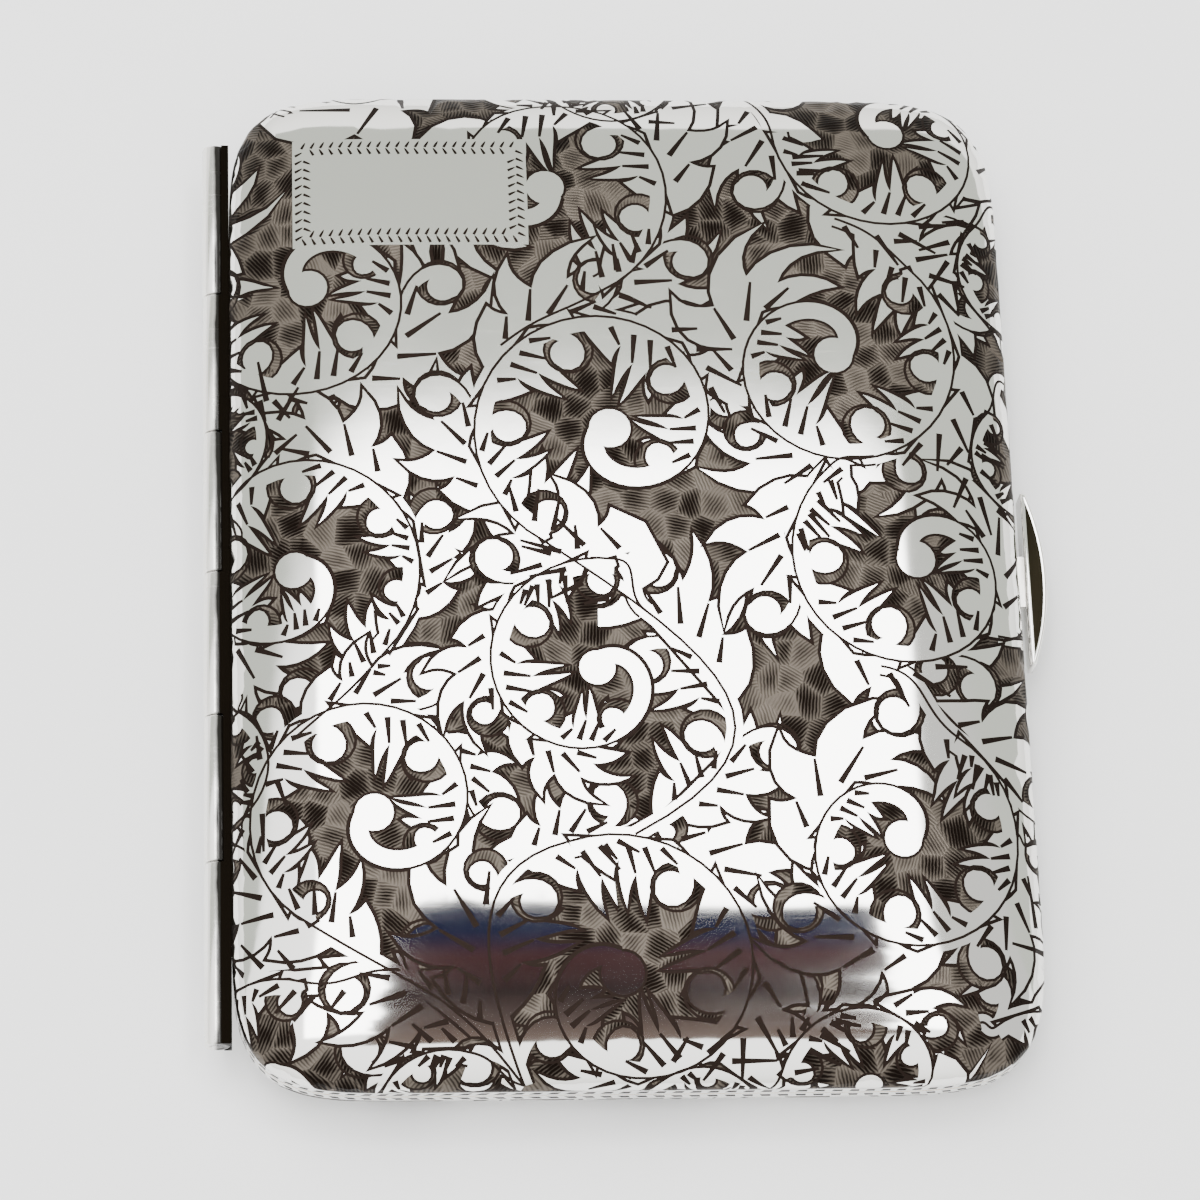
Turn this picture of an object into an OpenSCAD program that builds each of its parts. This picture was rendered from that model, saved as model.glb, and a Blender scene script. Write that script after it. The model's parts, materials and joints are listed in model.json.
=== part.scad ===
// Pocket card case of engraved silver: two cushion-shaped shells on an outside
// hinge, closed by a sprung thumb piece, with a gilt inside and an elastic strap.
// The case lies on its back. X runs from the hinge to the thumb piece, Y along
// the long side, Z up through the thickness. The origin is the middle of the
// flat on the back. All sizes are in millimetres.

/* [Case] */
// Width over the shells, without the hinge and the thumb piece
case_w = 73; // [68:1:90]
// Length over the shells
case_l = 98; // [92:1:120]
// Thickness when it is shut
case_t = 12; // [11:0.5:16]
// Thickness of the silver sheet
wall = 0.7; // [0.5:0.05:1]
// Width of the rounded shoulder, from the flat to the rim
shoulder = 18; // [15:0.5:20]
// Squareness of the corners in plan, where 2 is round
corner_power = 4.3; // [3:0.1:6]
// Fullness of the shoulder, where 2 is elliptical
dome_power = 2.2; // [2:0.1:3]
// Part of the shoulder's width that stays flat
flat_share = 0.06; // [0.05:0.01:0.2]
// Height of the upright band at the rim of each shell
band_h = 1.5; // [1.4:0.05:1.8]
// Hairline gap between the two rims
rim_gap = 0.1; // [0.06:0.01:0.2]

/* [Bezel] */
// Thickness of the bezel, the frame inside the rim of the back
bezel_t = 0.7; // [0.5:0.05:1]
// How far the bezel stands up into the front
bezel_rise = 1.1; // [0.9:0.05:1.3]
// How far the bezel reaches down inside the back
bezel_depth = 1.45; // [1.35:0.05:1.75]
// Gap between the bezel and the walls around it
bezel_fit = 0.05; // [0.03:0.01:0.1]

/* [Hinge] */
// Radius of the hinge knuckles
knuckle_r = 1.15; // [1:0.05:1.4]
// Distance from each end of the case to the end of the hinge
hinge_inset = 4.75; // [4:0.25:8]
// Extra length of the knuckle at the top end
top_extra = 1.5; // [0:0.5:2]
// Extra length of the knuckle at the bottom end
bottom_extra = 3; // [0:0.5:3]
// Gap between neighbouring knuckles
seam_gap = 0.12; // [0.08:0.02:0.2]
// Radius of the hinge pin
pin_r = 0.5; // [0.4:0.05:0.6]
// Running clearance of the pin in its bore
pin_fit = 0.03; // [0.02:0.01:0.05]
// Gap between a knuckle and what it turns past
turn_gap = 0.15; // [0.12:0.01:0.25]
// Length of the plugs that close the ends of the bore
plug_l = 1.2; // [0.8:0.1:2]

/* [Catch] */
// Length of the thumb piece
thumb_l = 17; // [14:0.5:20]
// Height of the thumb piece
thumb_h = 3; // [2.6:0.1:3.2]
// Depth of the thumb piece at its middle
thumb_depth = 2; // [1.6:0.1:2.6]
// Depth of the thumb piece at its two ends
thumb_end = 0.5; // [0.4:0.1:0.8]
// Travel of the thumb piece when it is pressed
press_travel = 0.65; // [0.6:0.05:0.75]
// Gap left behind the thumb piece when it is pressed right in
press_rest = 0.15; // [0.1:0.05:0.3]
// Width of the tang behind the thumb piece
tang_w = 5; // [4:0.5:6]
// Height of the tang
tang_h = 0.8; // [0.6:0.05:0.85]
// Clearance around the tang
tang_fit = 0.2; // [0.15:0.05:0.3]
// Thickness of the catch spring
spring_t = 0.35; // [0.25:0.05:0.45]
// Height of the catch spring
spring_h = 2; // [1.6:0.1:2.1]
// Free length of the catch spring, from the tang to the first rivet
spring_reach = 18; // [14:1:22]
// Distance between the two spring rivets
rivet_pitch = 4; // [3:0.5:6]
// Radius of the rivet shanks
rivet_r = 0.35; // [0.3:0.05:0.4]
// Depth of the striker behind the front rim
strike_depth = 0.45; // [0.35:0.05:0.55]
// Thickness of the striker
strike_t = 0.35; // [0.25:0.05:0.4]

/* [Strap] */
// Width of the elastic strap
strap_w = 10; // [8:1:16]
// Thickness of the elastic
strap_t = 0.55; // [0.4:0.05:0.7]
// Radius of the wire of the strap bars
bar_r = 0.5; // [0.4:0.05:0.6]
// Distance from the strap bar to the bezel
bar_reach = 1.8; // [1.6:0.1:2.4]
// Depth of the strap bars below the rim
bar_drop = 1.3; // [1.2:0.1:1.6]

/* [Hidden] */
$fn = 48;

silver = [0.86, 0.85, 0.82];
gilt = [0.85, 0.68, 0.38];
elastic = [0.78, 0.70, 0.52];
steel = [0.62, 0.62, 0.64];

// The shells
joint_z = case_t / 2;
shell_h = joint_z - rim_gap / 2;
core_x = case_w / 2 - shoulder;
core_y = case_l / 2 - shoulder;
corner_steps = 12;
dome_steps = 12;
bezel_in = wall + bezel_fit;
bezel_face = bezel_in + bezel_t;
over = 0.5;

// The hinge, as distances from the middle of the case
axis_x = -(case_w / 2 + knuckle_r + turn_gap);
knuckle_count = 6;
hinge_l = case_l - 2 * hinge_inset;
hinge_top = hinge_l / 2;
knuckle_l = (hinge_l - top_extra - bottom_extra) / knuckle_count;
bore_r = pin_r + pin_fit;
bearer_lip = 0.3 * knuckle_r;
bearer_h = knuckle_r;

// The catch, as distances from the outside of the wall
thumb_off = press_travel + press_rest;
tang_top = -0.25;
tang_mid = tang_top - tang_h / 2;
notch_w = tang_w + 2 * tang_fit;
notch_depth = tang_h - tang_top + tang_fit;
spring_top = bezel_rise - 0.1;
spring_end = tang_w / 2 + 1;
rivet_y = tang_w / 2 + spring_reach;
rivet_z = -0.1;
rivet_fit = 0.02;
rivet_head_r = 2 * rivet_r;
rivet_head_t = 0.3;
strike_w = tang_w - 0.6;
strike_z = 0.1;
nose_z = strike_z + strike_t + 0.05;
nose_h = 0.5;
nose_lip = 0.15;
nose_w = strike_w;
nose_fit = 0.1;

// The strap
bar_y = case_l / 2 - bezel_face - bar_reach;
bar_z = joint_z - bar_drop;
loop_fit = 0.05;
loop_in = bar_r + loop_fit;
loop_out = loop_in + strap_t;
bar_half = strap_w / 2 + 1;

// A cosine or sine bent to the corner's power, which rounds a superellipse
function bent(v) = sign(v) * pow(abs(v), 2 / corner_power);

// The outline whose straight sides lie at this reach from the core rectangle
function outline(reach) = [
    for (corner = [0:3])
        let (sx = (corner == 0 || corner == 3) ? 1 : -1, sy = corner < 2 ? 1 : -1)
        for (i = [0:corner_steps])
            let (a = 90 * (corner + i / corner_steps))
            [sx * core_x + reach * bent(cos(a)), sy * core_y + reach * bent(sin(a))]
];

// Reach and height of each ring of a cushion, from the rim to the flat
function cushion_rings(inset, height) = concat(
    [[shoulder - inset, 0]],
    [
        for (j = [0:dome_steps])
            let (a = 90 * (1 - j / dome_steps), s = pow(sin(a), 2 / dome_power))
            [
                (shoulder - inset) * (flat_share + (1 - flat_share) * s),
                band_h + (height - band_h) * cos(a)
            ]
    ]
);

// One hollow half of the case, open downwards, with its rim at z = 0
module half_shell() {
    outer = cushion_rings(0, shell_h);
    inner = cushion_rings(wall, shell_h - wall);
    n = 4 * (corner_steps + 1);
    last = len(outer) - 1;
    inside = n * (last + 1);
    points = [
        for (rings = [outer, inner], ring = rings, p = outline(ring[0])) [p[0], p[1], ring[1]]
    ];
    walls = [
        for (j = [0:last - 1], i = [0:n - 1])
            let (k = (i + 1) % n)
            each [
                [j * n + i, (j + 1) * n + i, (j + 1) * n + k, j * n + k],
                [inside + j * n + k, inside + (j + 1) * n + k, inside + (j + 1) * n + i, inside + j * n + i]
            ]
    ];
    rim = [for (i = [0:n - 1]) let (k = (i + 1) % n) [i, k, inside + k, inside + i]];
    flats = [
        [for (i = [n - 1:-1:0]) last * n + i],
        [for (i = [0:n - 1]) inside + last * n + i]
    ];
    polyhedron(points = points, faces = concat(walls, rim, flats));
}

module front_shell() {
    color(silver)
        translate([0, 0, joint_z + rim_gap / 2]) half_shell();
}

module back_shell() {
    color(silver)
        difference() {
            translate([0, 0, joint_z - rim_gap / 2]) mirror([0, 0, 1]) half_shell();
            tang_notch(case_w / 2 - 2 * wall, case_w / 2 + over);
        }
}

// The cut that lets the tang through a wall, from x0 to x1
module tang_notch(x0, x1) {
    translate([x0, -notch_w / 2, joint_z - notch_depth])
        cube([x1 - x0, notch_w, notch_depth + bezel_rise + over]);
}

// The frame that stands up from the back and stiffens both rims
module bezel() {
    outside = outline(shoulder - bezel_in);
    inside = outline(shoulder - bezel_face);
    n = len(outside);
    color(gilt)
        difference() {
            translate([0, 0, joint_z - bezel_depth])
                linear_extrude(bezel_depth + bezel_rise)
                    polygon(
                        concat(outside, inside),
                        [[for (i = [0:n - 1]) i], [for (i = [0:n - 1]) n + i]]
                    );
            tang_notch(case_w / 2 - bezel_face - over, case_w / 2);
            spring_rivet_holes();
        }
}

// A bar of round wire or a hole along Y, from y0 to y1, on the hinge axis
module along_hinge(y0, y1, r) {
    translate([axis_x, y0, joint_z]) rotate([-90, 0, 0]) cylinder(r = r, h = y1 - y0);
}

// Where knuckle i starts, counted from the top end of the hinge
function knuckle_start(i) = hinge_top - (i == 0 ? 0 : i * knuckle_l + top_extra);
function knuckle_end(i) = i == knuckle_count - 1 ? -hinge_top : knuckle_start(i + 1);

// Knuckle i as a tube, with its share of the seam at each end that has a neighbour
module knuckle(i) {
    y1 = knuckle_start(i) - (i == 0 ? 0 : seam_gap / 2);
    y0 = knuckle_end(i) + (i == knuckle_count - 1 ? 0 : seam_gap / 2);
    color(silver)
        difference() {
            along_hinge(y0, y1, knuckle_r);
            along_hinge(y0 - over, y1 + over, bore_r);
        }
}

// The grooved strip that carries one half's knuckles, above the joint. Its own
// knuckles are those whose number leaves this remainder when halved.
module bearer(own) {
    difference() {
        translate([axis_x + bearer_lip, -hinge_top, joint_z + rim_gap / 2])
            cube([-case_w / 2 - axis_x - bearer_lip, hinge_l, bearer_h - rim_gap / 2]);
        for (i = [0:knuckle_count - 1]) {
            mine = i % 2 == own;
            reach = mine ? -seam_gap / 2 : seam_gap / 2;
            along_hinge(
                knuckle_end(i) - (i == knuckle_count - 1 ? over : reach),
                knuckle_start(i) + (i == 0 ? over : reach),
                mine ? knuckle_r : knuckle_r + turn_gap
            );
        }
    }
}

module front_bearer() {
    color(silver) bearer(1);
}

module back_bearer() {
    color(silver)
        translate([0, 0, 2 * joint_z]) mirror([0, 0, 1]) bearer(0);
}

module hinge_pin() {
    color(steel)
        along_hinge(-hinge_top + plug_l + seam_gap, hinge_top - plug_l - seam_gap, pin_r);
}

// The plug in the open end of the top or the bottom knuckle
module pin_plug(top) {
    color(silver)
        along_hinge(top ? hinge_top - plug_l : -hinge_top, top ? hinge_top : -hinge_top + plug_l, pin_r);
}

// A D-shaped bar that stands clear of the wall by its travel
module thumb_piece() {
    rise = thumb_depth - thumb_end;
    bow_r = (pow(thumb_l / 2, 2) + pow(rise, 2)) / (2 * rise);
    outside_x = case_w / 2 + thumb_off + thumb_depth;
    color(silver)
        translate([0, 0, joint_z + tang_mid - thumb_h / 2])
            intersection() {
                translate([case_w / 2 + thumb_off, -thumb_l / 2, 0])
                    cube([thumb_depth + over, thumb_l, thumb_h]);
                translate([outside_x - bow_r, 0, 0]) cylinder(r = bow_r, h = thumb_h, $fn = 180);
            }
}

// The flat tang that joins the thumb piece to the spring
module catch_tang() {
    x0 = case_w / 2 - bezel_face;
    color(silver)
        translate([x0, -tang_w / 2, joint_z + tang_top - tang_h])
            cube([bezel_face + thumb_off, tang_w, tang_h]);
}

// The ledge inside the front rim that the nose holds down
module striker() {
    color(gilt)
        translate([case_w / 2 - wall - strike_depth, -strike_w / 2, joint_z + strike_z])
            cube([strike_depth, strike_w, strike_t]);
}

// A rivet's shank or its hole, from the outer face of the bezel inwards
module across_spring(y, r, length) {
    translate([case_w / 2 - bezel_in, y, joint_z + rivet_z])
        rotate([0, -90, 0]) cylinder(r = r, h = length);
}

module spring_rivet_holes() {
    for (i = [0, 1]) across_spring(rivet_y + i * rivet_pitch, rivet_r + rivet_fit, bezel_t + spring_t + over);
}

// A leaf of hard metal, fixed to the bezel at one end and to the tang at the other.
// Its free end carries the nose that hooks over the striker, with a closing slope.
module catch_spring() {
    y0 = -spring_end;
    y1 = rivet_y + rivet_pitch + 1.5;
    reach = bezel_face - wall - nose_fit;
    color(steel)
        difference() {
            union() {
                translate([case_w / 2 - bezel_face - spring_t, y0, joint_z + spring_top - spring_h])
                    cube([spring_t, y1 - y0, spring_h]);
                translate([case_w / 2 - bezel_face, nose_w / 2, joint_z + nose_z])
                    rotate([90, 0, 0])
                        linear_extrude(nose_w)
                            polygon([
                                [-spring_t / 2, 0], [reach, 0], [reach, nose_lip],
                                [0.3 * reach, nose_h], [-spring_t / 2, nose_h]
                            ]);
            }
            spring_rivet_holes();
        }
}

module spring_rivets() {
    shank = bezel_t + spring_t;
    color(silver)
        for (i = [0, 1]) {
            y = rivet_y + i * rivet_pitch;
            across_spring(y, rivet_r, shank);
            translate([-shank, 0, 0]) across_spring(y, rivet_head_r, rivet_head_t);
        }
}

// A staple of round wire on the inside of the bezel, at the top end of the case
module strap_bar() {
    leg = bar_reach;
    color(gilt)
        translate([0, bar_y, bar_z]) {
            translate([-bar_half, 0, 0]) rotate([0, 90, 0]) cylinder(r = bar_r, h = 2 * bar_half);
            for (side = [-1, 1])
                translate([side * bar_half, 0, 0]) {
                    sphere(r = bar_r);
                    rotate([-90, 0, 0]) cylinder(r = bar_r, h = leg);
                }
        }
}

// A flat band with a sewn loop at each end, drawn over the two bars
module elastic_strap() {
    color(elastic)
        translate([-strap_w / 2, 0, bar_z])
            rotate([90, 0, 90])
                linear_extrude(strap_w)
                    difference() {
                        union() {
                            translate([-bar_y, loop_in]) square([2 * bar_y, strap_t]);
                            for (side = [-1, 1]) translate([side * bar_y, 0]) circle(r = loop_out);
                        }
                        for (side = [-1, 1]) translate([side * bar_y, 0]) circle(r = loop_in);
                    }
}

front_shell();
front_bearer();
knuckle(1);  // front_knuckle_1
knuckle(3);  // front_knuckle_2
knuckle(5);  // front_knuckle_3
striker();
pin_plug(false);  // pin_plug_bottom
back_shell();
bezel();
back_bearer();
knuckle(0);  // back_knuckle_1
knuckle(2);  // back_knuckle_2
knuckle(4);  // back_knuckle_3
hinge_pin();
pin_plug(true);  // pin_plug_top
catch_spring();
spring_rivets();
strap_bar();  // strap_bar_top
mirror([0, 1, 0]) strap_bar();  // strap_bar_bottom
elastic_strap();
thumb_piece();
catch_tang();
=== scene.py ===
"""Engraved silver card case: shells, hinge, catch, strap, finishes, light and camera."""

import json
import math
import random

import bmesh
import bpy
import numpy as np
from bpy.props import FloatProperty, FloatVectorProperty, IntProperty, PointerProperty
from mathutils import Matrix, Vector, geometry, kdtree


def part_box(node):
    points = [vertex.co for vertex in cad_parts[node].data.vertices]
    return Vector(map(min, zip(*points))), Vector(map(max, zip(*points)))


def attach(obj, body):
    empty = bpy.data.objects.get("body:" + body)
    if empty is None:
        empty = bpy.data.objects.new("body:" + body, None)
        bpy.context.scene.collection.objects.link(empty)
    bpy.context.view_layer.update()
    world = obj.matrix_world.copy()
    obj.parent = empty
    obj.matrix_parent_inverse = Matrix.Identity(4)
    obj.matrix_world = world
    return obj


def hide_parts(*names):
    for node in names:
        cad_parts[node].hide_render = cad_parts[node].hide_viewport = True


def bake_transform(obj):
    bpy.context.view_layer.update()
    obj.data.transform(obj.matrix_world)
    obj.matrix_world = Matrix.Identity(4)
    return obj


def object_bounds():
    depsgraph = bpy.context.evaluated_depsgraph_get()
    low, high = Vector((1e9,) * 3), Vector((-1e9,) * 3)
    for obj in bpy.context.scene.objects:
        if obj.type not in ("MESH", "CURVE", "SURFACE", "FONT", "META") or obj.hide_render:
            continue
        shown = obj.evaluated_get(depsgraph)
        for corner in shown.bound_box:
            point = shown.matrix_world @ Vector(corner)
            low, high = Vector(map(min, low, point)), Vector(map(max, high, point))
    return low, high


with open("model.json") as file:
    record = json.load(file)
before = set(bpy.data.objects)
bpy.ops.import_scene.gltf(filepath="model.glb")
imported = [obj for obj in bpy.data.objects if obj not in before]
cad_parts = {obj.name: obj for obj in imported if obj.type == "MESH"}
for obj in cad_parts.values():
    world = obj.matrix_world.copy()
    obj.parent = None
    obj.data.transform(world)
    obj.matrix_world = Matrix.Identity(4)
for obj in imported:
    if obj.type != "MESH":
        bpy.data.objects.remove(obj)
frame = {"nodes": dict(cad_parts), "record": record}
CAD_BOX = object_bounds()

bl_info = {
    "name": "Engraved card case",
    "version": (1, 0, 0),
    "blender": (4, 5, 0),
    "location": "View3D > Sidebar > Card case",
    "description": "Builds the engraved shells, hinge, catch, strap and studio of a silver card case",
    "category": "Object",
}

MM = 0.001


def corners_mm(node):
    """Lowest and highest corner of a node at rest, in millimetres."""
    low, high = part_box(node)
    return [c / MM for c in low], [c / MM for c in high]


# The shells, as the frame holds them
BACK_HIGH = corners_mm("back_shell")[1]
FRONT_LOW, FRONT_HIGH = corners_mm("front_shell")
HALF_W = FRONT_HIGH[0]
HALF_L = FRONT_HIGH[1]
TOP_Z = FRONT_HIGH[2]
RIM_Z = FRONT_LOW[2]
BACK_RIM_Z = BACK_HIGH[2]
SHELL_H = TOP_Z - RIM_Z
# The cushion's shoulder, wall and rim band, the powers of its outline and dome, and its flat middle
SHOULDER = 18.0
WALL = 0.7
BAND_H = 1.5
CORNER_POWER = 4.3
DOME_POWER = 2.2
FLAT_SHARE = 0.06
CORE_X = HALF_W - SHOULDER
CORE_Y = HALF_L - SHOULDER

# The hinge, from its own nodes
KNUCKLES = [f"{side}_knuckle_{k}" for k in (1, 2, 3) for side in ("back", "front")]
KNUCKLE_LOW, KNUCKLE_HIGH = corners_mm("back_knuckle_2")
AXIS_X = (KNUCKLE_LOW[0] + KNUCKLE_HIGH[0]) / 2
AXIS_Z = (KNUCKLE_LOW[2] + KNUCKLE_HIGH[2]) / 2
KNUCKLE_R = (KNUCKLE_HIGH[0] - KNUCKLE_LOW[0]) / 2
PIN_LOW, PIN_HIGH = corners_mm("hinge_pin")
BORE_GAP = 0.03
BORE_R = (PIN_HIGH[0] - PIN_LOW[0]) / 2 + BORE_GAP

# How deep the thumb piece is at its blunt ends
THUMB_END = 0.5

# The elastic strap and the bars that it goes round
STRAP_LOW, STRAP_HIGH = corners_mm("elastic_strap")
BAR_LOW, BAR_HIGH = corners_mm("strap_bar_top")
STRAP_W = STRAP_HIGH[0] - STRAP_LOW[0]
LOOP_R = (STRAP_HIGH[2] - STRAP_LOW[2]) / 2
BAR_R = (BAR_HIGH[2] - BAR_LOW[2]) / 2
BAR_Y = STRAP_HIGH[1] - LOOP_R
BAR_Z = (BAR_LOW[2] + BAR_HIGH[2]) / 2
BAND_GAP = 0.025
BAND_TURN = (LOOP_R + BAR_R) / 2 + BAND_GAP

# The faces of a shell by their finish, in the order of its materials
SILVER, GROUND, LINE, GILT = range(4)
RIM_POINTS = 168


class EngravingSizes(bpy.types.PropertyGroup):
    """Sizes of the engraving, in millimetres."""

    line: FloatProperty(name="Line", description="Width of a cut outline", default=0.26, min=0.1, max=0.5)
    line_depth: FloatProperty(
        name="Line depth", description="Depth of the outlines", default=0.1, min=0.02, max=0.3)
    ground_depth: FloatProperty(
        name="Ground depth", description="Depth of the cut ground", default=0.26, min=0.1, max=0.5)
    cell: FloatProperty(
        name="Cell", description="Size of the chiselled cells of the ground", default=2.5, min=1, max=5)
    crown: FloatProperty(
        name="Crown", description="Share by which the front falls towards its rim",
        default=0.13, min=0, max=0.3)
    mill_pitch: FloatProperty(
        name="Milling pitch", description="Pitch of the milled rim", default=0.72, min=0.4, max=2)
    seed: IntProperty(
        name="Seed", description="Seed of the chiselled ground and the small leaves", default=7, min=0)


def colour_property(name, description, default):
    return FloatVectorProperty(name=name, description=description, subtype="COLOR", default=default)


class FinishColours(bpy.types.PropertyGroup):
    """Colours of the metals and the strap."""

    silver: colour_property("Silver", "Polished silver", (0.90, 0.89, 0.86))
    ground_dark: colour_property("Oxide", "Darkened ground", (0.006, 0.004, 0.003))
    ground_pale: colour_property("Pale ground", "Ground on its ridges", (0.12, 0.102, 0.085))
    gilt: colour_property("Gilt", "Gilding inside", (0.86, 0.66, 0.36))
    steel: colour_property("Nickel silver", "Spring and pin", (0.62, 0.61, 0.58))
    elastic: colour_property("Elastic", "Woven strap", (0.60, 0.48, 0.30))


# ---------------------------------------------------------------- the cushion's surface

def section():
    """Reach and height along the shoulder, against the distance run over the surface."""
    share = np.linspace(0, 1, 800)
    angle = share * math.pi / 2
    bent = np.sin(angle) ** (2 / DOME_POWER)
    reach = SHOULDER * (FLAT_SHARE + (1 - FLAT_SHARE) * bent)
    height = BAND_H + (SHELL_H - BAND_H) * np.cos(angle)
    reach = np.concatenate([[0], reach, [SHOULDER]])
    height = np.concatenate([[SHELL_H], height, [0]])
    run = np.concatenate([[0], np.cumsum(np.hypot(np.diff(reach), np.diff(height)))])
    return run, reach, height


RUN, REACH, HEIGHT = section()
RIM_RUN = float(RUN[-1])
# Where the ornament ends above the milled rim, and the rings that carry the bend of the shoulder
EDGE_RUN = RIM_RUN - 1.3
SHOULDER_RINGS = (RIM_RUN - BAND_H, RIM_RUN - 2.2, RIM_RUN - 3.2, RIM_RUN - 4.6)


def base_points(u, v, crown):
    """Points of the cushion for pattern coordinates, where the shoulders are unrolled."""
    du = np.sign(u) * np.maximum(np.abs(u) - CORE_X, 0)
    dv = np.sign(v) * np.maximum(np.abs(v) - CORE_Y, 0)
    run = (np.abs(du) ** CORNER_POWER + np.abs(dv) ** CORNER_POWER) ** (1 / CORNER_POWER)
    scale = np.interp(run, RUN, REACH) / np.maximum(run, 1e-9)
    x = np.clip(u, -CORE_X, CORE_X) + du * scale
    y = np.clip(v, -CORE_Y, CORE_Y) + dv * scale
    z = np.interp(run, RUN, HEIGHT) * (1 - crown * ((x / HALF_W) ** 2 + (y / HALF_L) ** 2) / 2)
    return np.stack([x, y, z], axis=-1)


def drape(points, crown):
    """Places (u, v, lift) on the cushion. Returns the points and the surface's normals."""
    u, v, lift = points[:, 0], points[:, 1], points[:, 2]
    step = 0.02
    run_u = base_points(u + step, v, crown) - base_points(u - step, v, crown)
    run_v = base_points(u, v + step, crown) - base_points(u, v - step, crown)
    normal = np.cross(run_u, run_v)
    normal /= np.maximum(np.linalg.norm(normal, axis=1), 1e-12)[:, None]
    return base_points(u, v, crown) + normal * lift[:, None], normal


def ring(run, count):
    """Points at one distance over the shoulder, all round the case, in pattern coordinates."""
    straight = [(CORE_X, CORE_Y), (-CORE_X, CORE_Y), (-CORE_X, -CORE_Y), (CORE_X, -CORE_Y)]
    signs = [(1, 1), (-1, 1), (-1, -1), (1, -1)]
    outline = []
    power = 2 / CORNER_POWER
    steps = 16
    for k, ((cx, cy), (sx, sy)) in enumerate(zip(straight, signs)):
        for i in range(steps + 1):
            a = math.pi / 2 * (k + i / steps)
            outline.append((cx + sx * run * abs(math.cos(a)) ** power,
                            cy + sy * run * abs(math.sin(a)) ** power))
    return evenly(outline, count)


def evenly(outline, count):
    """A closed outline's points, spread at even distances."""
    closed = np.array(outline + outline[:1])
    along = np.concatenate([[0], np.cumsum(np.hypot(*np.diff(closed, axis=0).T))])
    wanted = np.linspace(0, along[-1], count, endpoint=False)
    return list(zip(np.interp(wanted, along, closed[:, 0]), np.interp(wanted, along, closed[:, 1])))


def held_inside(points, limit):
    """Pulls points that lie past a distance over the shoulder back to it."""
    out = []
    for u, v in points:
        du = max(abs(u) - CORE_X, 0)
        dv = max(abs(v) - CORE_Y, 0)
        run = (du ** CORNER_POWER + dv ** CORNER_POWER) ** (1 / CORNER_POWER)
        if run > limit:
            share = limit / run
            u = math.copysign(min(abs(u), CORE_X) + du * share, u)
            v = math.copysign(min(abs(v), CORE_Y) + dv * share, v)
        out.append((u, v))
    return out


# ---------------------------------------------------------------- drawing the ornament

def offset_line(points, widths):
    """The points beside a line, at the given distances to its left."""
    out = []
    for i, (x, y) in enumerate(points):
        x0, y0 = points[max(i - 1, 0)]
        x1, y1 = points[min(i + 1, len(points) - 1)]
        dx, dy = x1 - x0, y1 - y0
        size = math.hypot(dx, dy) or 1
        out.append((x - dy / size * widths[i], y + dx / size * widths[i]))
    return out


def signed_area(outline):
    """Twice the area of a closed outline, positive when it runs leftwards."""
    return sum(a[0] * b[1] - b[0] * a[1] for a, b in zip(outline, outline[1:] + outline[:1]))


def grown(outline, by):
    """A closed outline moved outwards, with its sharp tips held short."""
    side = -1 if signed_area(outline) > 0 else 1
    out = []
    count = len(outline)
    for i, (x, y) in enumerate(outline):
        x0, y0 = outline[i - 1]
        x1, y1 = outline[(i + 1) % count]
        a = math.atan2(y - y0, x - x0)
        b = math.atan2(y1 - y, x1 - x)
        turn = (b - a + math.pi) % (2 * math.pi) - math.pi
        reach = by / max(math.cos(turn / 2), 0.42)
        middle = a + turn / 2 + side * math.pi / 2
        out.append((x + reach * math.cos(middle), y + reach * math.sin(middle)))
    return out


class Ornament:
    """A drawing in layers. What is drawn later covers what is drawn before."""

    def __init__(self, sizes, limit):
        self.sizes = sizes
        self.limit = limit
        self.layers = []

    def paint(self, outline, kind):
        self.layers.append((held_inside(outline, self.limit), kind))

    def strip(self, points, left, right, kind):
        """A band of quads between two lines beside a centre line."""
        a = offset_line(points, left)
        b = offset_line(points, [-w for w in right])
        for i in range(len(points) - 1):
            self.paint([b[i], b[i + 1], a[i + 1], a[i]], kind)

    def stroke(self, points, width):
        """A shading cut along a short line, blunt at its start and pointed at its end."""
        count = len(points) - 1
        half = [width * 0.5 * (1 - 0.55 * (i / count) ** 2) for i in range(count + 1)]
        self.paint(offset_line(points, [-h for h in half]) + offset_line(points, half)[::-1], LINE)

    def dash(self, x, y, angle, length, width):
        """A nick: a tapered stroke that starts blunt."""
        points = []
        for t in (0, 0.25, 0.5, 0.75, 1):
            points.append((x + length * (t - 0.5) * math.cos(angle),
                           y + length * (t - 0.5) * math.sin(angle)))
        half = [width * share for share in (0.5, 0.5, 0.45, 0.35, 0.12)]
        left = offset_line(points, half)
        right = offset_line(points, [-h for h in half])
        self.paint(right + left[::-1], LINE)


def disc(x, y, radius, count=18):
    angles = [2 * math.pi * i / count for i in range(count)]
    return [(x + radius * math.cos(a), y + radius * math.sin(a)) for a in angles]


# Steps of a stem, and the turns that stand for it, more than any scroll has left
STEM_STEPS = 16
ON_STEM = 9.0


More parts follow.
